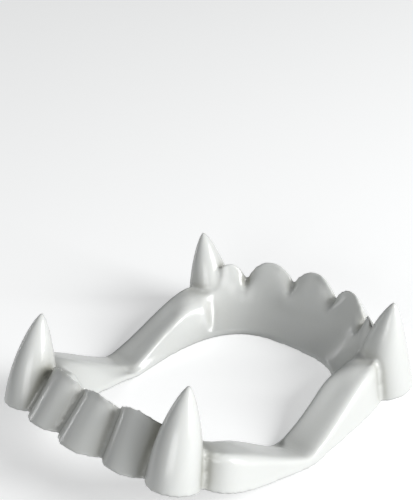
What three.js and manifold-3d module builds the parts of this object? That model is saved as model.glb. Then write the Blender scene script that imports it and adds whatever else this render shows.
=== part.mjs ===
// Vampire fang denture: a glossy white moulded set of costume teeth, unfolded and lying on a table.
// Two tooth arches are joined at the back by flat straps, which are a living hinge.
// Each arch is a thin shell, open underneath, with a row of front teeth, two fangs and two side arms.
// Millimetres, +Z up, the lower arch towards -Y, the origin on the table under the middle.

import * as THREE from "three";
import { mergeVertices } from "three/addons/utils/BufferGeometryUtils.js";
import Module from "manifold-3d";

const wasm = await Module();
wasm.setup();

// Sizes that both arches share
const WALL = 1.5; // thickness of the shell
const STRAP_THICKNESS = 1.75; // thickness of the straps at the fold line
const STRAP_INNER = 16.8; // half the distance between the straps' inner edges
const STRAP_OUTER = 24.7; // half the distance between the straps' outer edges
const STRAP_BLEND = 8.0; // length over which the straps turn into the hollow arms
const FRONT_BLEND = 8.0; // length of arm over which its section turns into the front's
const HINGE_GAP = 0.4; // slot that parts the two arches at the fold line
const REST_FOLD = 19.8; // degrees that the lower arch stays folded up when the toy lies open
const LIP = 0.9; // height of the upright edge round the mouth opening
const HOLLOW_REACH = 1.0; // how far the hollowing shapes reach out below the rim
const FANG_FULLNESS = 1.66; // how long a fang keeps its girth before it tapers
const FANG_TAPER = 0.75; // how blunt a fang's tip is
const FANG_END = 0.99; // share of a fang's height at which its taper is cut off
const FANG_ROOF = 2.5; // solid tip above a fang's hollow, in wall thicknesses

// Shape of a tooth across its width, from its middle to its grooves
const TOOTH_ROUND = 2.2; // squareness of its top edge
const BULGE_ROUND = 1.0; // squareness of its outer face

// Steps of the faceted surfaces
const TOOTH_STEPS = 8;
const FANG_ZONE_STEPS = 4;
const ARM_STEPS = 12;
const CORNER_CROWDING = 1.6; // how closely the steps sit near the arm's front corner
const ROOF_STEPS = 7;
const FANG_RINGS = 9;
const FANG_SIDES = 20;
const TIP_CROWDING = 1.5; // how closely a fang's rings sit near its tip

// Each arch is measured forward from the fold line and sideways from the middle.
// A tooth reaches from the one before it to a share of the front curve's half width.
// Its top, and the groove on its outer side, are shares of the highest tooth.
const LOWER = {
  name: "lower_jaw",
  front: 26.0, // fold line to the foot of the front wall
  frontHalf: 20.7, // half width of the curve that the front wall follows
  frontRound: 10.0, // where that curve starts, ahead of the fold line
  frontPower: 2.55, // squareness of that curve
  armEndHalf: 25.8, // half width over the arms, beside the fangs
  armEnd: 20.8, // fold line to the front face of the arms
  armCorner: 6.5, // squareness of the arms' front corners
  armMeetsFang: 0.995, // share of the arm's length at which its outer side runs into the fang
  armHeight: 5.8, // height of the arms' shelf beside the fangs
  armRise: 17.7, // length over which the shelf rises from the straps
  mouth: 19.5, // fold line to the front edge of the mouth opening
  mouthHalf: 15.6, // half width of the mouth opening
  mouthPower: 2.6, // squareness of the mouth opening
  innerRun: 1.27, // how gently the arms rise from the mouth's edge
  armLean: 0.09, // inward lean of the arms' outer wall for each unit of height
  fangLean: 0.35, // inward lean of the front wall where it meets a fang
  coveHeight: 8.0, // height that the smooth inner face of the front is shaped for
  coveLean: 0.5, // outward run of that face's top for each unit of height
  toothHeight: 8.8, // height of the highest tooth
  toothBulge: 2.4, // how far a tooth stands out from its grooves
  toothCrown: 1.0, // how gently a tooth's top edge rises from its grooves
  teeth: [
    { name: "middle", to: 0.252, groove: 0.8, top: 0.95, lean: 0.57 },
    { name: "side", to: 0.719, groove: 0.82, top: 1.0, lean: 0.48 },
  ],
  // A fang's tip lies a little outward and ahead of its foot.
  fang: { side: 17.4, radius: 4.3, height: 15.3, tipOut: 0, tipForward: -0.9 },
};

const UPPER = {
  name: "upper_jaw",
  front: 32.8,
  frontHalf: 24.4,
  frontRound: 8.0,
  frontPower: 2.85,
  armEndHalf: 23.3,
  armEnd: 24.2,
  armCorner: 7,
  armMeetsFang: 0.8866,
  armHeight: 7.3,
  armRise: 19.0,
  mouth: 22.3,
  mouthHalf: 16.9,
  mouthPower: 3.1,
  innerRun: 0.54,
  armLean: 0.05,
  fangLean: 0.4,
  coveHeight: 10.6,
  coveLean: 0.36,
  toothHeight: 11.6,
  toothBulge: 1.7,
  toothCrown: 0.9,
  teeth: [
    { name: "middle", to: 0.224, groove: 0.7, top: 0.97, lean: 0.27 },
    { name: "side", to: 0.65, groove: 0.63, top: 0.97, lean: 0.36 },
    { name: "narrow", to: 0.865, groove: 0.66, top: 0.94, lean: 0.45 },
  ],
  fang: { side: 20.3, radius: 4.7, height: 15.9, tipOut: 1.9, tipForward: 1.9 },
};

// The section across the shell, from the mouth's edge to the crest of the outer wall.
// across is a share of the way to the crest and up is a share of the crest's height,
// on an arm and on the front wall.
const SECTION = [
  { armAcross: 0.13, armUp: 0.58, frontAcross: 0.24, frontUp: 0.22 },
  { armAcross: 0.26, armUp: 0.87, frontAcross: 0.48, frontUp: 0.4 },
  { armAcross: 0.52, armUp: 0.95, frontAcross: 0.7, frontUp: 0.62 },
  { armAcross: 0.82, armUp: 1.0, frontAcross: 0.86, frontUp: 0.92 },
  { armAcross: 0.94, armUp: 0.95, frontAcross: 0.93, frontUp: 1.0 },
  { armAcross: 1.0, armUp: 0.8, frontAcross: 1.0, frontUp: 0.9 },
];
const ARM_INNER_END = 0.72; // where an arm's inner edge meets the corner, as a share of the mouth
const GROOVE_INNER = 0.67; // inner edge's distance from the middle, as a share of the groove's
const COVE_ROWS = 3; // rows of the section that make the smooth inner face
const COVE_LIMIT = 0.86; // highest share of a groove's height that the inner face reaches
const COVE_CREST = 1.12; // the inner face's widest reach, as a share of the way to the crest
const LIP_LEAN = 0.08; // how far the mouth's upright edge leans back, as a share of its height
const LIP_LIMIT = 0.6; // highest share of the crest's height that this edge takes
const FANG_ZONE_SHARE = 0.45; // share of the change to the arm's section that is done beside the fang
const FANG_SEAT = 0.35; // how far an arm reaches into its fang, as a share of the fang's radius

const mix = THREE.MathUtils.lerp;
const smooth = (t) => THREE.MathUtils.smoothstep(t, 0, 1);

// Distance ahead of the mouth's edge at a distance sideways, and the other way round.
const mouthAhead = (jaw, side) =>
  jaw.mouth * (1 - (side / jaw.mouthHalf) ** jaw.mouthPower) ** (1 / jaw.mouthPower);

function mouthSide(jaw, ahead) {
  const half = mix(STRAP_INNER, jaw.mouthHalf, smooth(ahead / STRAP_BLEND));
  return half * (1 - (ahead / jaw.mouth) ** jaw.mouthPower) ** (1 / jaw.mouthPower);
}

const frontAhead = (jaw, side) =>
  jaw.frontRound +
  (jaw.front - jaw.frontRound) * (1 - (side / jaw.frontHalf) ** jaw.frontPower) ** (1 / jaw.frontPower);

function armSide(jaw, ahead) {
  const half = mix(STRAP_OUTER, jaw.armEndHalf, ahead / jaw.armEnd);
  return half * (1 - (ahead / jaw.armEnd) ** jaw.armCorner) ** (1 / jaw.armCorner);
}

function armHeight(jaw, ahead) {
  const t = Math.min(1, ahead / jaw.armRise);
  return mix(STRAP_THICKNESS, jaw.armHeight, (smooth(t) + t) / 2);
}

// Where an arm's outer side starts, and where the middle of its fang's foot is, ahead of the fold line.
const armStartOf = (jaw) => jaw.armEnd * jaw.armMeetsFang;
const fangAhead = (jaw) => armStartOf(jaw) + jaw.fang.radius * FANG_SEAT;

// Inward lean of the front wall, which changes evenly from one tooth's middle to the next, and
// from the last one to the fang.
function leanAt(jaw, share) {
  let before = { middle: 0, lean: jaw.teeth[0].lean };
  for (const [index, tooth] of jaw.teeth.entries()) {
    const middle = index === 0 ? 0 : (jaw.teeth[index - 1].to + tooth.to) / 2;
    if (share < middle) {
      return mix(before.lean, tooth.lean, (share - before.middle) / (middle - before.middle));
    }
    before = { middle, lean: tooth.lean };
  }
  const last = jaw.teeth[jaw.teeth.length - 1];
  return mix(before.lean, jaw.fangLean, smooth((share - before.middle) / (last.to - before.middle)));
}

// Stations of one side, from the middle of the front to the fold line. Each has these values:
// outer is the foot of the outer wall, inner is the foot of the inner edge,
// plainWidth is the wall's width without its teeth, height is the crest's height,
// cove is the height that shapes the inner face, fill is how much solid fills the hollow,
// lean is the inward lean, and front is how much the station belongs to the front.
function stations(jaw) {
  const rows = [];
  for (const [index, tooth] of jaw.teeth.entries()) {
    const whole = index === 0;
    const steps = whole ? TOOTH_STEPS / 2 : TOOTH_STEPS;
    const last = index === jaw.teeth.length - 1;
    const from = whole ? 0 : jaw.teeth[index - 1].to;
    const grooveBefore = whole ? tooth.groove : jaw.teeth[index - 1].groove;
    for (let i = 0; i < steps + (last ? 1 : 0); i++) {
      const t = i / steps;
      const side = mix(from, tooth.to, t) * jaw.frontHalf;
      const offCentre = whole ? t : Math.abs(2 * t - 1);
      const crown = Math.max(0, 1 - offCentre ** TOOTH_ROUND);
      const groove = mix(grooveBefore, tooth.groove, t);
      const step = 0.01;
      const slope = (frontAhead(jaw, side + step) - frontAhead(jaw, side)) / step;
      const bulge = jaw.toothBulge * crown ** BULGE_ROUND;
      const outward = new THREE.Vector2(-slope, 1).normalize();
      const foot = new THREE.Vector2(side, frontAhead(jaw, side));
      const inner = new THREE.Vector2(side * GROOVE_INNER, mouthAhead(jaw, side * GROOVE_INNER));
      rows.push({
        outer: foot.clone().addScaledVector(outward, bulge),
        inner,
        plainWidth: foot.distanceTo(inner),
        height: mix(groove, tooth.top, crown ** jaw.toothCrown) * jaw.toothHeight,
        cove: jaw.coveHeight,
        fill: 0,
        lean: leanAt(jaw, side / jaw.frontHalf),
        front: 1,
      });
    }
  }
  const groove = rows[rows.length - 1];
  const armStart = armStartOf(jaw);
  const innerStart = jaw.mouth * ARM_INNER_END;
  const armOuter = new THREE.Vector2(armSide(jaw, armStart), armStart);
  const armInner = new THREE.Vector2(mouthSide(jaw, innerStart), innerStart);
  const angleFrom = Math.atan2(groove.inner.y, groove.inner.x);
  const angleTo = Math.atan2(armInner.y, armInner.x);
  for (let i = 1; i < FANG_ZONE_STEPS; i++) {
    const t = i / FANG_ZONE_STEPS;
    const angle = mix(angleFrom, angleTo, t);
    const sideShare = (Math.cos(angle) / jaw.mouthHalf) ** jaw.mouthPower;
    const aheadShare = (Math.sin(angle) / jaw.mouth) ** jaw.mouthPower;
    const reach = (sideShare + aheadShare) ** (-1 / jaw.mouthPower);
    const height = mix(groove.height, armHeight(jaw, armStart), smooth(t));
    const front = 1 - smooth(t * FANG_ZONE_SHARE);
    const outer = groove.outer.clone().lerp(armOuter, t);
    const inner = new THREE.Vector2(Math.cos(angle) * reach, Math.sin(angle) * reach);
    rows.push({
      outer,
      inner,
      plainWidth: outer.distanceTo(inner),
      height,
      cove: mix(height, jaw.coveHeight, front),
      fill: 0,
      lean: mix(groove.lean, jaw.armLean, smooth(t)),
      front,
    });
  }
  for (let i = 0; i <= ARM_STEPS; i++) {
    const t = i / ARM_STEPS;
    const ahead = mix(armStart, HINGE_GAP / 2, t ** CORNER_CROWDING);
    const innerAhead = mix(HINGE_GAP / 2, innerStart, (ahead - HINGE_GAP / 2) / (armStart - HINGE_GAP / 2));
    const turned = Math.min(1, (armStart - ahead) / FRONT_BLEND);
    const front = 1 - smooth(mix(FANG_ZONE_SHARE, 1, turned));
    const height = armHeight(jaw, ahead);
    const outer = new THREE.Vector2(armSide(jaw, ahead), ahead);
    const inner = new THREE.Vector2(mouthSide(jaw, innerAhead), innerAhead);
    rows.push({
      outer,
      inner,
      plainWidth: outer.distanceTo(inner),
      height,
      cove: mix(height, jaw.coveHeight, front),
      fill: STRAP_THICKNESS * (1 - smooth(ahead / STRAP_BLEND)),
      lean: jaw.armLean,
      front,
    });
  }
  return rows;
}

// Section of the outer surface at a station: points across the shell and up.
function outerSection(jaw, row) {
  const width = row.outer.distanceTo(row.inner);
  const crest = width - row.lean * row.height;
  const coveRun = mix(jaw.armLean, jaw.coveLean, row.front) * row.cove;
  const coveReach = Math.min(row.plainWidth - coveRun, COVE_CREST * crest);
  const lip = Math.min(LIP, LIP_LIMIT * row.height);
  const points = [new THREE.Vector2(0, 0), new THREE.Vector2(LIP_LEAN * LIP, lip)];
  for (const [i, p] of SECTION.entries()) {
    const armAcross = p.armAcross < 0.5 ? p.armAcross * jaw.innerRun : p.armAcross;
    const across = mix(armAcross, p.frontAcross, row.front) * (i < COVE_ROWS ? coveReach : crest);
    const share = mix(p.armUp, p.frontUp, row.front);
    const limit = mix(1, COVE_LIMIT, row.front) * row.height;
    const up = i < COVE_ROWS ? Math.min(share * row.cove, limit) : share * row.height;
    points.push(new THREE.Vector2(across, Math.max(lip, up)));
  }
  points.push(new THREE.Vector2(width, 0));
  return points;
}

// Section of the hollow under it, one wall thickness inside, and open below.
function hollowSection(jaw, row) {
  const outline = outerSection(jaw, row);
  const width = row.outer.distanceTo(row.inner);
  const roof = (across) => {
    let i = 1;
    while (i < outline.length - 2 && outline[i + 1].x < across) i++;
    const run = outline[i + 1].x - outline[i].x;
    const rise = outline[i + 1].y - outline[i].y;
    const height = outline[i].y + (rise * (across - outline[i].x)) / run;
    return height - WALL * Math.hypot(1, rise / run) - row.fill;
  };
  const from = WALL;
  const foot = width - WALL * Math.hypot(1, row.lean);
  const to = foot - row.lean * Math.max(0, row.height - 2 * WALL);
  const points = [new THREE.Vector2(from, -HOLLOW_REACH)];
  for (let i = 0; i <= ROOF_STEPS; i++) {
    const across = mix(from, to, i / ROOF_STEPS);
    points.push(new THREE.Vector2(across, Math.max(roof(across), -HOLLOW_REACH / 2)));
  }
  points.push(new THREE.Vector2(foot, -HOLLOW_REACH * 0.6));
  points.push(new THREE.Vector2(foot, -HOLLOW_REACH));
  return points;
}

// A closed solid through equal rings of points, with flat fans over its two ends.
function loft(rings) {
  const count = rings[0].length;
  const positions = rings.flat().flatMap((p) => [p.x, p.y, p.z]);
  const index = [];
  for (let r = 0; r < rings.length - 1; r++) {
    for (let i = 0; i < count; i++) {
      const a = r * count + i;
      const b = r * count + ((i + 1) % count);
      index.push(a, b, b + count, a, b + count, a + count);
    }
  }
  const last = (rings.length - 1) * count;
  for (const [start, flip] of [[0, true], [last, false]]) {
    const ring = rings[start / count];
    const flat = THREE.ShapeUtils.triangulateShape(flatten(ring), []);
    for (const [a, b, c] of flat) {
      index.push(start + a, start + (flip ? c : b), start + (flip ? b : c));
    }
  }
  const geometry = new THREE.BufferGeometry();
  geometry.setAttribute("position", new THREE.Float32BufferAttribute(positions, 3));
  geometry.setIndex(index);
  return geometry;
}

// A nearly flat ring of points, seen along its own normal.
function flatten(ring) {
  const normal = new THREE.Vector3();
  for (let i = 0; i < ring.length; i++) {
    normal.add(new THREE.Vector3().crossVectors(ring[i], ring[(i + 1) % ring.length]));
  }
  normal.normalize();
  const turn = new THREE.Quaternion().setFromUnitVectors(normal, new THREE.Vector3(0, 0, 1));
  return ring.map((p) => p.clone().applyQuaternion(turn)).map((p) => new THREE.Vector2(p.x, p.y));
}

function solid(geometry) {
  geometry.deleteAttribute("normal");
  geometry.deleteAttribute("uv");
  const merged = mergeVertices(geometry, 1e-4);
  const mesh = new wasm.Mesh({
    numProp: 3,
    vertProperties: merged.attributes.position.array,
    triVerts: new Uint32Array(merged.index.array),
  });
  const made = new wasm.Manifold(mesh);
  if (made.volume() > 0) return made;
  for (let i = 0; i < mesh.triVerts.length; i += 3) {
    [mesh.triVerts[i + 1], mesh.triVerts[i + 2]] = [mesh.triVerts[i + 2], mesh.triVerts[i + 1]];
  }
  return new wasm.Manifold(mesh);
}

// The whole arch swept through one section after another, from one strap round to the other.
function sweep(jaw, sectionOf) {
  const half = stations(jaw);
  const ringAt = (row, side) =>
    sectionOf(jaw, row).map((p) => {
      const along = row.outer.clone().sub(row.inner).normalize();
      const at = row.inner.clone().addScaledVector(along, p.x);
      return new THREE.Vector3(at.x * side, at.y, p.y);
    });
  const right = half.slice(1).reverse().map((row) => ringAt(row, 1));
  const left = half.slice(1).map((row) => ringAt(row, -1));
  return solid(loft([...right, ringAt(half[0], 1), ...left]));
}

// A fang: rings that shrink up a slightly curved line. inset makes the hollow inside it.
function fang(jaw, side, inset) {
  const { fang: f } = jaw;
  const ahead = fangAhead(jaw);
  const foot = new THREE.Vector3(f.side * side, ahead, inset ? -HOLLOW_REACH : 0);
  const tipZ = f.height - FANG_ROOF * inset;
  const tip = new THREE.Vector3((f.side + f.tipOut) * side, ahead + f.tipForward, tipZ);
  const bend = new THREE.Vector3(f.side * side, ahead, f.height / 2);
  const line = new THREE.QuadraticBezierCurve3(foot, bend, tip);
  const rings = [];
  for (let r = 0; r < FANG_RINGS; r++) {
    const t = 1 - (1 - r / (FANG_RINGS - 1)) ** TIP_CROWDING;
    const centre = line.getPoint(t);
    const up = Math.max(0, centre.z) / tip.z;
    const girth = (f.radius - inset) * (1 - Math.min(FANG_END, up) ** FANG_FULLNESS) ** FANG_TAPER;
    const ring = [];
    for (let i = 0; i < FANG_SIDES; i++) {
      const angle = (2 * Math.PI * i) / FANG_SIDES;
      ring.push(centre.clone().add(new THREE.Vector3(Math.cos(angle) * girth, Math.sin(angle) * girth, 0)));
    }
    rings.push(ring);
  }
  return solid(loft(rings));
}

// One arch, as a mesh that lies with its rim on the table and points to +Y.
function arch(jaw, material) {
  let body = sweep(jaw, outerSection);
  let hollow = sweep(jaw, hollowSection);
  for (const side of [-1, 1]) {
    body = body.add(fang(jaw, side, 0));
    hollow = hollow.add(fang(jaw, side, WALL));
  }
  const shell = body.subtract(hollow).getMesh();
  const geometry = new THREE.BufferGeometry();
  geometry.setAttribute("position", new THREE.BufferAttribute(shell.vertProperties, 3));
  geometry.setIndex(new THREE.BufferAttribute(shell.triVerts, 1));
  geometry.computeVertexNormals();
  const mesh = new THREE.Mesh(geometry, material);
  mesh.name = jaw.name;
  return mesh;
}

const plastic = new THREE.MeshStandardMaterial({ color: 0xf1f3f1, roughness: 0.22, metalness: 0 });
const denture = new THREE.Group();
const upperJaw = arch(UPPER, plastic);
const lowerJaw = arch(LOWER, plastic.clone());

// The upper arch lies flat, and the lower one is turned up about the top of the straps.
const fold = new THREE.Group();
fold.position.z = STRAP_THICKNESS;
fold.rotation.x = -THREE.MathUtils.degToRad(REST_FOLD);
lowerJaw.position.z = -STRAP_THICKNESS;
lowerJaw.rotation.z = Math.PI;
fold.add(lowerJaw);
denture.add(upperJaw, fold);

// The origin goes under the middle of the whole.
const box = new THREE.Box3().setFromObject(denture, true);
denture.position.y = -(box.min.y + box.max.y) / 2;
denture.position.z = -box.min.z;

export default denture;
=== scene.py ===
"""Vampire fang denture: looks of the open white costume denture that lies on a pale table.

The glossy moulding is one continuous shell over both arches, and it bends at the straps.
"""

import math
from collections import namedtuple

import bpy
import numpy as np
from mathutils import Matrix, Vector


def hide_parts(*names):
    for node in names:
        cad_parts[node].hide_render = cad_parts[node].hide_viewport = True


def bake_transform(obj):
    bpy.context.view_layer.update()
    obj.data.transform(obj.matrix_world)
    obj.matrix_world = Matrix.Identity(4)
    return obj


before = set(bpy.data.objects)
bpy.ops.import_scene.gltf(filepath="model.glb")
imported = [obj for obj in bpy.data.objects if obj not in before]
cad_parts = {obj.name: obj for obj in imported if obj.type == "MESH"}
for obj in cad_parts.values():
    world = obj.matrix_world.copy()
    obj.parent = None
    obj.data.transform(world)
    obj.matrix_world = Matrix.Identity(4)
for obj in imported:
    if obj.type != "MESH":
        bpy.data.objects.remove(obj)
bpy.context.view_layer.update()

MM = 0.001

# Sizes that both arches share, in millimetres
WALL = 1.5
STRAP_THICKNESS = 1.75
STRAP_INNER = 16.8
STRAP_OUTER = 24.7
REST_FOLD = math.radians(19.8)
FOLD_Y = -3.593
LIP = 0.9
LIP_LIMIT = 0.6
LIP_LEAN = 0.08
HOLLOW_REACH = 1.0
BULGE_POWER = 2.2
FANG_FULLNESS = 1.66
FANG_TAPER = 0.75
FANG_ROOF = 2.5
ARM_SEAT = 0.35
ARM_CROWDING = 1.4
ARM_INNER_END = 0.72
GROOVE_INNER = 0.67
COVE_ROWS = 3
COVE_LIMIT = 0.86
COVE_CREST = 1.12
STRAP_BLEND = 8.0
FRONT_BLEND = 8.0
FANG_ZONE_SHARE = 0.45
NUDGE = 0.01
VOXEL = 0.3
OUTER_ROUNDS = 50
FINAL_ROUNDS = 10

# Each arch's sizes in millimetres, and its powers and leans without a unit.
# Teeth: far edge as a share of the front curve's half width, then the outer groove's height and
# the top's height as shares of the highest tooth, then the inward lean
LOWER = dict(
    front=26.0, front_half=20.7, front_round=10.0, front_power=2.55,
    arm_end_half=25.8, arm_end=20.8, arm_corner=6.5, arm_height=5.8, arm_rise=17.7,
    mouth=19.5, mouth_half=15.6, mouth_power=2.6, inner_run=1.27, arm_lean=0.09, fang_lean=0.35,
    cove=8.0, cove_lean=0.5, tooth_height=8.8, bulge=2.4, crown=1.0,
    teeth=[(0.252, 0.80, 0.95, 0.57), (0.719, 0.82, 1.0, 0.48)],
    fang=dict(side=17.4, ahead=22.2, radius=4.3, height=15.3, tip_side=17.4, tip_ahead=21.3),
)
UPPER = dict(
    front=32.8, front_half=24.4, front_round=8.0, front_power=2.85,
    arm_end_half=23.3, arm_end=24.2, arm_corner=7.0, arm_height=7.3, arm_rise=19.0,
    mouth=22.3, mouth_half=16.9, mouth_power=3.1, inner_run=0.54, arm_lean=0.05, fang_lean=0.40,
    cove=10.6, cove_lean=0.36, tooth_height=11.6, bulge=1.7, crown=0.9,
    teeth=[(0.224, 0.70, 0.97, 0.27), (0.65, 0.63, 0.97, 0.36), (0.865, 0.66, 0.94, 0.45)],
    fang=dict(side=20.3, ahead=23.1, radius=4.7, height=15.9, tip_side=22.2, tip_ahead=25.0),
)

# The section across the shell: shares across and up, on an arm and on the front wall
SECTION = [
    (0.13, 0.58, 0.24, 0.22),
    (0.26, 0.87, 0.48, 0.40),
    (0.52, 0.95, 0.70, 0.62),
    (0.82, 1.00, 0.86, 0.92),
    (0.94, 0.95, 0.93, 1.00),
    (1.00, 0.80, 1.00, 0.90),
]


def mix(a, b, t):
    return a + (b - a) * t


def smooth(t):
    t = min(1.0, max(0.0, t))
    return t * t * (3 - 2 * t)


def squircle(x, power):
    """Height of a rounded square's quarter, 1 at its middle and 0 at its edge."""
    return max(1e-9, 1 - max(x, 0.0) ** power) ** (1 / power)


def mouth_ahead(jaw, side):
    return jaw["mouth"] * squircle(side / jaw["mouth_half"], jaw["mouth_power"])


def mouth_side(jaw, ahead):
    """The mouth's half width, which is wider at the straps than in the arch."""
    half = mix(STRAP_INNER, jaw["mouth_half"], smooth(ahead / STRAP_BLEND))
    return half * squircle(ahead / jaw["mouth"], jaw["mouth_power"])


def front_ahead(jaw, side):
    reach = jaw["front"] - jaw["front_round"]
    return jaw["front_round"] + reach * squircle(side / jaw["front_half"], jaw["front_power"])


def arm_side(jaw, ahead):
    half = mix(STRAP_OUTER, jaw["arm_end_half"], ahead / jaw["arm_end"])
    return half * squircle(ahead / jaw["arm_end"], jaw["arm_corner"])


def arm_height(jaw, ahead):
    t = min(1.0, ahead / jaw["arm_rise"])
    return mix(STRAP_THICKNESS, jaw["arm_height"], (smooth(t) + t) / 2)


# A section's outer and inner foot, the wall's width without its teeth, the crest's height, the
# height that shapes the inner face, how much solid fills the hollow, the inward lean, and the
# front's share, which is 1 on the front wall and 0 on an arm
Row = namedtuple("Row", "outer inner plain_width height cove fill lean front")


def lean_at(jaw, share):
    """Inward lean of the front wall, which changes from tooth to tooth and on to the fang."""
    ends = [tooth[0] for tooth in jaw["teeth"]]
    leans = [tooth[3] for tooth in jaw["teeth"]]
    middles = [0.0] + [(a + b) / 2 for a, b in zip(ends, ends[1:])]
    if share < middles[-1]:
        return np.interp(share, middles, leans)
    return mix(leans[-1], jaw["fang_lean"], smooth((share - middles[-1]) / (ends[-1] - middles[-1])))


def distance(a, b):
    return np.linalg.norm(a - b)


def stations(jaw, tooth_steps=22, zone_steps=18, arm_steps=44):
    """The sections' rows from the middle of the front to the fold line."""
    rows = []
    start, before = 0.0, jaw["teeth"][0][1]
    for k, (end, groove, top, _) in enumerate(jaw["teeth"]):
        steps = tooth_steps // 2 if k == 0 else tooth_steps
        last = k == len(jaw["teeth"]) - 1
        for i in range(steps + last):
            t = i / steps
            side = mix(start, end, t) * jaw["front_half"]
            off = t if k == 0 else abs(2 * t - 1)
            crown = max(0.0, 1 - off ** BULGE_POWER)
            slope = (front_ahead(jaw, side + NUDGE) - front_ahead(jaw, side)) / NUDGE
            outward = np.array([-slope, 1.0]) / math.hypot(slope, 1)
            foot = np.array([side, front_ahead(jaw, side)])
            inner = np.array([side * GROOVE_INNER, mouth_ahead(jaw, side * GROOVE_INNER)])
            height = mix(mix(before, groove, t), top, crown ** jaw["crown"]) * jaw["tooth_height"]
            rows.append(Row(
                foot + outward * jaw["bulge"] * crown, inner, distance(foot, inner),
                height, jaw["cove"], 0.0, lean_at(jaw, side / jaw["front_half"]), 1.0,
            ))
        start, before = end, groove
    last_row = rows[-1]
    arm_start = jaw["fang"]["ahead"] - jaw["fang"]["radius"] * ARM_SEAT
    inner_start = jaw["mouth"] * ARM_INNER_END
    arm_outer = np.array([arm_side(jaw, arm_start), arm_start])
    angle_from = math.atan2(last_row.inner[1], last_row.inner[0])
    angle_to = math.atan2(inner_start, mouth_side(jaw, inner_start))
    power = jaw["mouth_power"]
    for i in range(1, zone_steps):
        t = i / zone_steps
        angle = mix(angle_from, angle_to, t)
        c, s = math.cos(angle), math.sin(angle)
        reach = ((c / jaw["mouth_half"]) ** power + (s / jaw["mouth"]) ** power) ** (-1 / power)
        height = mix(last_row.height, arm_height(jaw, arm_start), smooth(t))
        front = 1 - smooth(t * FANG_ZONE_SHARE)
        outer, inner = mix(last_row.outer, arm_outer, t), np.array([c * reach, s * reach])
        rows.append(Row(
            outer, inner, distance(outer, inner), height, mix(height, jaw["cove"], front), 0.0,
            mix(last_row.lean, jaw["arm_lean"], smooth(t)), front,
        ))
    for i in range(arm_steps):
        ahead = mix(arm_start, 0.0, (i / arm_steps) ** ARM_CROWDING)
        inner_at = inner_start * ahead / arm_start
        height = arm_height(jaw, ahead)
        front = 1 - smooth(mix(FANG_ZONE_SHARE, 1.0, min(1.0, (arm_start - ahead) / FRONT_BLEND)))
        outer = np.array([arm_side(jaw, ahead), ahead])
        inner = np.array([mouth_side(jaw, inner_at), inner_at])
        rows.append(Row(
            outer, inner, distance(outer, inner), height, mix(height, jaw["cove"], front),
            STRAP_THICKNESS * (1 - smooth(ahead / STRAP_BLEND)), jaw["arm_lean"], front,
        ))
    return rows


def curve_through(points, steps):
    """A Catmull-Rom curve through the points."""
    p = np.vstack([2 * points[0] - points[1], points, 2 * points[-1] - points[-2]])
    out = []
    for k in range(1, len(p) - 2):
        for i in range(steps):
            t = i / steps
            a, b, c, d = p[k - 1], p[k], p[k + 1], p[k + 2]
            square = 2 * a - 5 * b + 4 * c - d
            cube = 3 * b - a - 3 * c + d
            out.append(0.5 * (2 * b + (c - a) * t + square * t ** 2 + cube * t ** 3))
    out.append(points[-1])
    return np.array(out)


def outer_section(jaw, row, curve_steps=4, edge_steps=3, wall_steps=8):
    """The shell's outside at one row: across from the inner foot, and up."""
    width = distance(row.outer, row.inner)
    crest = width - row.lean * row.height
    cove_run = mix(jaw["arm_lean"], jaw["cove_lean"], row.front) * row.cove
    cove_reach = min(row.plain_width - cove_run, COVE_CREST * crest)
    lip = min(LIP, LIP_LIMIT * row.height)
    limit = mix(1.0, COVE_LIMIT, row.front) * row.height
    points = [(LIP_LEAN * LIP, lip)]
    for k, (arm_across, arm_up, front_across, front_up) in enumerate(SECTION):
        if arm_across < 0.5:
            arm_across *= jaw["inner_run"]
        across = mix(arm_across, front_across, row.front)
        share = mix(arm_up, front_up, row.front)
        if k < COVE_ROWS:
            points.append((across * cove_reach, max(lip, min(share * row.cove, limit))))
        else:
            points.append((across * crest, max(lip, share * row.height)))
    edge = np.linspace((0, 0), points[0], edge_steps)[:-1]
    top = curve_through(np.array(points), curve_steps)
    wall = np.linspace(points[-1], (width, 0), wall_steps)[1:]
    base = np.linspace((width, 0), (0, 0), wall_steps)[1:-1]
    return np.vstack([edge, top, wall, base])


def hollow_section(jaw, row, steps=18):
    """The hollow below the outside, one wall's thickness away from it."""
    outline = outer_section(jaw, row)[2:-6]
    foot = distance(row.outer, row.inner) - WALL * math.hypot(1, row.lean)
    to = foot - row.lean * max(0.0, row.height - 2 * WALL)
    across = np.linspace(WALL, to, steps)
    up = np.interp(across, outline[:, 0], outline[:, 1])
    slope = np.gradient(up, across)
    roof = np.maximum(up - WALL * np.hypot(1, slope) - row.fill, -HOLLOW_REACH / 2)
    points = [(WALL, -HOLLOW_REACH)] + list(zip(across, roof))
    points += [(foot, -0.6 * HOLLOW_REACH), (foot, -HOLLOW_REACH)]
    return np.array(points)


def place(jaw, points):
    """Points of one arch, ahead along +Y, moved to their place in the frame, in millimetres."""
    p = np.array(points, float)
    if jaw is LOWER:
        y, z = -p[:, 1], p[:, 2] - STRAP_THICKNESS
        c, s = math.cos(REST_FOLD), math.sin(REST_FOLD)
        p = np.column_stack([p[:, 0], y * c + z * s, z * c - y * s + STRAP_THICKNESS])
    return p + [0, FOLD_Y, 0]


def rings_of(jaw, section_of, side):
    """The sections of one half of an arch, on the side whose sign is given."""
    rings = []
    for row in stations(jaw):
        along = (row.outer - row.inner) / distance(row.outer, row.inner)
        p = section_of(jaw, row)
        flat = row.inner + p[:, :1] * along
        rings.append(place(jaw, np.column_stack([flat[:, 0] * side, flat[:, 1], p[:, 1]])))
    return rings


def mesh_object(name, vertices, faces):
    """A mesh from millimetres, in Blender's metres."""
    mesh = bpy.data.meshes.new(name)
    mesh.from_pydata((np.array(vertices) * MM).tolist(), [], faces)
    mesh.validate()
    made = bpy.data.objects.new(name, mesh)
    bpy.context.scene.collection.objects.link(made)
    return made


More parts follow.
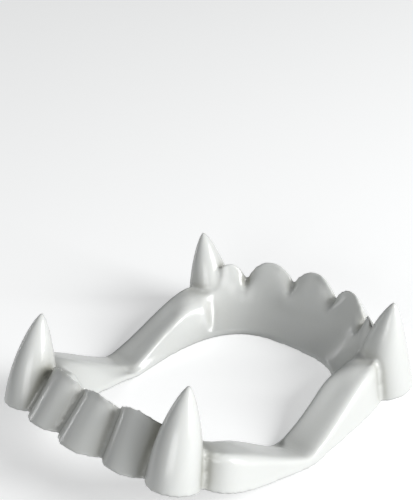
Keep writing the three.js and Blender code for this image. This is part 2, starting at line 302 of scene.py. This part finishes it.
def ring_faces(count, per_ring, closed):
    faces = []
    for a in range(count if closed else count - 1):
        b = (a + 1) % count
        for i in range(per_ring):
            j = (i + 1) % per_ring
            faces.append((a * per_ring + i, a * per_ring + j, b * per_ring + j, b * per_ring + i))
    return faces


def loop(name, section_of):
    """The whole ring of both arches swept through its sections, as one closed solid."""
    rings = rings_of(LOWER, section_of, 1)
    rings += rings_of(UPPER, section_of, 1)[::-1]
    rings += rings_of(UPPER, section_of, -1)[1:]
    rings += rings_of(LOWER, section_of, -1)[::-1][:-1]
    return mesh_object(name, np.vstack(rings), ring_faces(len(rings), len(rings[0]), True))


def fang(name, jaw, side, inset, rings=40, sides=48, crowding=1.5, blunt=0.998):
    """One fang, or with an inset the hollow in it, whose roof stays well below the tip."""
    f = jaw["fang"]
    foot = np.array([f["side"] * side, f["ahead"], -HOLLOW_REACH if inset else 0.0])
    tip = np.array([f["tip_side"] * side, f["tip_ahead"], f["height"] - FANG_ROOF * inset])
    bend = np.array([f["side"] * side, f["ahead"], f["height"] / 2])
    points = []
    turn = np.arange(sides) * 2 * math.pi / sides
    for r in range(rings):
        t = 1 - (1 - r / (rings - 1)) ** crowding
        centre = foot * (1 - t) ** 2 + 2 * bend * t * (1 - t) + tip * t * t
        up = max(0.0, centre[2]) / tip[2]
        girth = (f["radius"] - inset) * (1 - min(blunt, up) ** FANG_FULLNESS) ** FANG_TAPER
        around = np.column_stack([np.cos(turn), np.sin(turn), np.zeros(sides)])
        points.append(centre + girth * around)
    faces = ring_faces(rings, sides, False)
    faces.append(tuple(range(sides))[::-1])
    faces.append(tuple((rings - 1) * sides + k for k in range(sides)))
    return mesh_object(name, place(jaw, np.vstack(points)), faces)


def only(made):
    bpy.ops.object.select_all(action="DESELECT")
    made.select_set(True)
    bpy.context.view_layer.objects.active = made


def outward(made):
    only(made)
    bpy.ops.object.mode_set(mode="EDIT")
    bpy.ops.mesh.select_all(action="SELECT")
    bpy.ops.mesh.normals_make_consistent(inside=False)
    bpy.ops.object.mode_set(mode="OBJECT")


def join(parts):
    """The parts as one object, with each part's faces turned outward."""
    for part in parts:
        outward(part)
    bpy.ops.object.select_all(action="DESELECT")
    for part in parts:
        part.select_set(True)
    bpy.context.view_layer.objects.active = parts[0]
    bpy.ops.object.join()
    return parts[0]


def remesh(made, voxel):
    only(made)
    made.data.remesh_voxel_size = voxel * MM
    made.data.remesh_voxel_adaptivity = 0
    bpy.ops.object.voxel_remesh()


def relax(made, rounds, step=0.5, back=-0.52):
    """Taubin smoothing, which rounds edges a little and keeps the volume."""
    mesh = made.data
    count = len(mesh.vertices)
    v = np.empty(count * 3)
    mesh.vertices.foreach_get("co", v)
    v = v.reshape(-1, 3)
    e = np.empty(len(mesh.edges) * 2, dtype=np.int64)
    mesh.edges.foreach_get("vertices", e)
    a, b = e[0::2], e[1::2]
    degree = np.bincount(a, minlength=count) + np.bincount(b, minlength=count)
    for _ in range(rounds):
        for share in (step, back):
            total = np.zeros_like(v)
            for k in range(3):
                total[:, k] = np.bincount(a, v[b, k], count) + np.bincount(b, v[a, k], count)
            v += share * (total / degree[:, None] - v)
    mesh.vertices.foreach_set("co", v.ravel())
    mesh.update()


def cut(made, tool):
    """Takes the tool's space out of the object, and removes the tool."""
    outward(tool)
    modifier = made.modifiers.new("cut", "BOOLEAN")
    modifier.operation = "DIFFERENCE"
    modifier.solver = "MANIFOLD"
    modifier.object = tool
    only(made)
    bpy.ops.object.modifier_apply(modifier="cut")
    bpy.data.objects.remove(tool)


def solid(name, section_of, inset):
    """Both arches and their four fangs, joined into one solid skin."""
    fangs = [fang("fang", jaw, side, inset) for jaw in (LOWER, UPPER) for side in (-1, 1)]
    made = join([loop(name, section_of)] + fangs)
    remesh(made, VOXEL)
    return made


def build_shell():
    outer = solid("denture_shell", outer_section, 0.0)
    relax(outer, OUTER_ROUNDS)
    cut(outer, solid("hollow", hollow_section, WALL))
    remesh(outer, VOXEL)
    relax(outer, FINAL_ROUNDS)
    for polygon in outer.data.polygons:
        polygon.use_smooth = True
    return outer


def plastic_material():
    """Glossy white plastic with faint waves in its gloss, and painted shade that darkens its colour
    where its surface is hemmed in.
    """
    material = bpy.data.materials.new("white_plastic")
    material.use_nodes = True
    nodes, links = material.node_tree.nodes, material.node_tree.links
    shader = nodes["Principled BSDF"]
    # Painted shade: ambient occlusion darkens the base colour in the grooves and crevices, where
    # shade falls
    crevice_shade = nodes.new("ShaderNodeAmbientOcclusion")
    crevice_shade.samples = 12
    crevice_shade.only_local = True
    crevice_shade.inputs["Distance"].default_value = 5.0 * MM
    # The ramp paints the shade: dark grey where the surface is hemmed in, the plastic's own colour
    # where it is open
    painted_shade_ramp = nodes.new("ShaderNodeValToRGB")
    painted_shade_stop, open_to_all = painted_shade_ramp.color_ramp.elements
    painted_shade_stop.position = 0.62
    painted_shade_stop.color = (0.36, 0.36, 0.32, 1)
    open_to_all.position = 1.0
    open_to_all.color = (0.775, 0.79, 0.77, 1)
    links.new(crevice_shade.outputs["AO"], painted_shade_ramp.inputs["Fac"])
    links.new(painted_shade_ramp.outputs["Color"], shader.inputs["Base Color"])
    shader.inputs["IOR"].default_value = 1.5
    shader.inputs["Subsurface Weight"].default_value = 0.15
    shader.inputs["Subsurface Radius"].default_value = (1.0, 0.95, 0.85)
    shader.inputs["Subsurface Scale"].default_value = 0.8 * MM
    place_in = nodes.new("ShaderNodeTexCoord")
    waves = nodes.new("ShaderNodeTexNoise")
    waves.inputs["Scale"].default_value = 220
    waves.inputs["Detail"].default_value = 3
    links.new(place_in.outputs["Object"], waves.inputs["Vector"])
    gloss = nodes.new("ShaderNodeMapRange")
    gloss.inputs["To Min"].default_value = 0.17
    gloss.inputs["To Max"].default_value = 0.28
    links.new(waves.outputs["Fac"], gloss.inputs["Value"])
    links.new(gloss.outputs["Result"], shader.inputs["Roughness"])
    bump = nodes.new("ShaderNodeBump")
    bump.inputs["Strength"].default_value = 0.06
    bump.inputs["Distance"].default_value = 0.3 * MM
    links.new(waves.outputs["Fac"], bump.inputs["Height"])
    links.new(bump.outputs["Normal"], shader.inputs["Normal"])
    return material


def floor_material():
    """Matt and pale, with a little light of its own that keeps the shadows soft."""
    material = bpy.data.materials.new("floor")
    material.use_nodes = True
    shader = material.node_tree.nodes["Principled BSDF"]
    shader.inputs["Base Color"].default_value = (0.92, 0.93, 0.93, 1)
    shader.inputs["Roughness"].default_value = 0.6
    shader.inputs["Specular IOR Level"].default_value = 0.2
    shader.inputs["Emission Color"].default_value = (1, 1, 1, 1)
    shader.inputs["Emission Strength"].default_value = 0.44
    return material


def area_light(name, place_at, target, size, power):
    """A soft rectangular light, in metres and watts, turned to its target."""
    data = bpy.data.lights.new(name, "AREA")
    data.shape = "RECTANGLE"
    data.size, data.size_y = size
    data.energy = power
    made = bpy.data.objects.new(name, data)
    bpy.context.scene.collection.objects.link(made)
    made.location = place_at
    made.rotation_euler = (Vector(target) - Vector(place_at)).to_track_quat("-Z", "Y").to_euler()
    return made


shell = build_shell()
shell.data.materials.clear()
shell.data.materials.append(plastic_material())
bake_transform(shell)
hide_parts("upper_jaw", "lower_jaw")

# The floor gives the denture no light from below, because the photograph shows none
FLOOR_HALF = 2000
corners = [(x * FLOOR_HALF, y * FLOOR_HALF, 0) for x, y in ((-1, -1), (1, -1), (1, 1), (-1, 1))]
floor = mesh_object("floor", corners, [(0, 1, 2, 3)])
floor.data.materials.append(floor_material())
floor.visible_diffuse = False

# Camera: where the photograph was taken from, fitted to the denture's outline, with the eye in
# millimetres and the focal length in the photograph's pixels
AZIMUTH, ELEVATION, ROLL = (math.radians(d) for d in (49.87, 28.81, -9.0))
EYE = (132.7, -109.1, 123.5)
FOCAL_PX, WIDTH_PX = 1239.0, 413

camera_data = bpy.data.cameras.new("camera")
camera_data.sensor_fit = "HORIZONTAL"
camera_data.sensor_width = 36
camera_data.lens = FOCAL_PX / WIDTH_PX * camera_data.sensor_width
camera_data.clip_start = 0.01
camera = bpy.data.objects.new("camera", camera_data)
bpy.context.scene.collection.objects.link(camera)
camera.location = Vector(EYE) * MM
turn = Matrix.Rotation(AZIMUTH, 3, "Z") @ Matrix.Rotation(math.pi / 2 - ELEVATION, 3, "X")
camera.rotation_euler = (turn @ Matrix.Rotation(ROLL, 3, "Z")).to_euler()
bpy.context.scene.camera = camera

# Soft studio light: a key from the right, a fill from the front, and a narrow streak from the
# left that only shows as highlights on the gloss
world = bpy.data.worlds.new("studio")
bpy.context.scene.world = world
world.use_nodes = True
world.node_tree.nodes["Background"].inputs["Color"].default_value = (0.9, 0.93, 0.95, 1)
world.node_tree.nodes["Background"].inputs["Strength"].default_value = 0.105
key = area_light("key", (0.52, 0.16, 0.24), (0, 0, 0.005), (0.30, 0.30), 3.9)
key.data.specular_factor = 0.6
area_light("fill", (0.24, -0.57, 0.24), (0, 0, 0.005), (0.35, 0.25), 1.25)
streak = area_light("streak", (-0.55, -0.12, 0.16), (0, 0, 0.008), (0.015, 0.30), 0.22)
streak.data.diffuse_factor = 0
bpy.context.scene.view_settings.view_transform = "Standard"
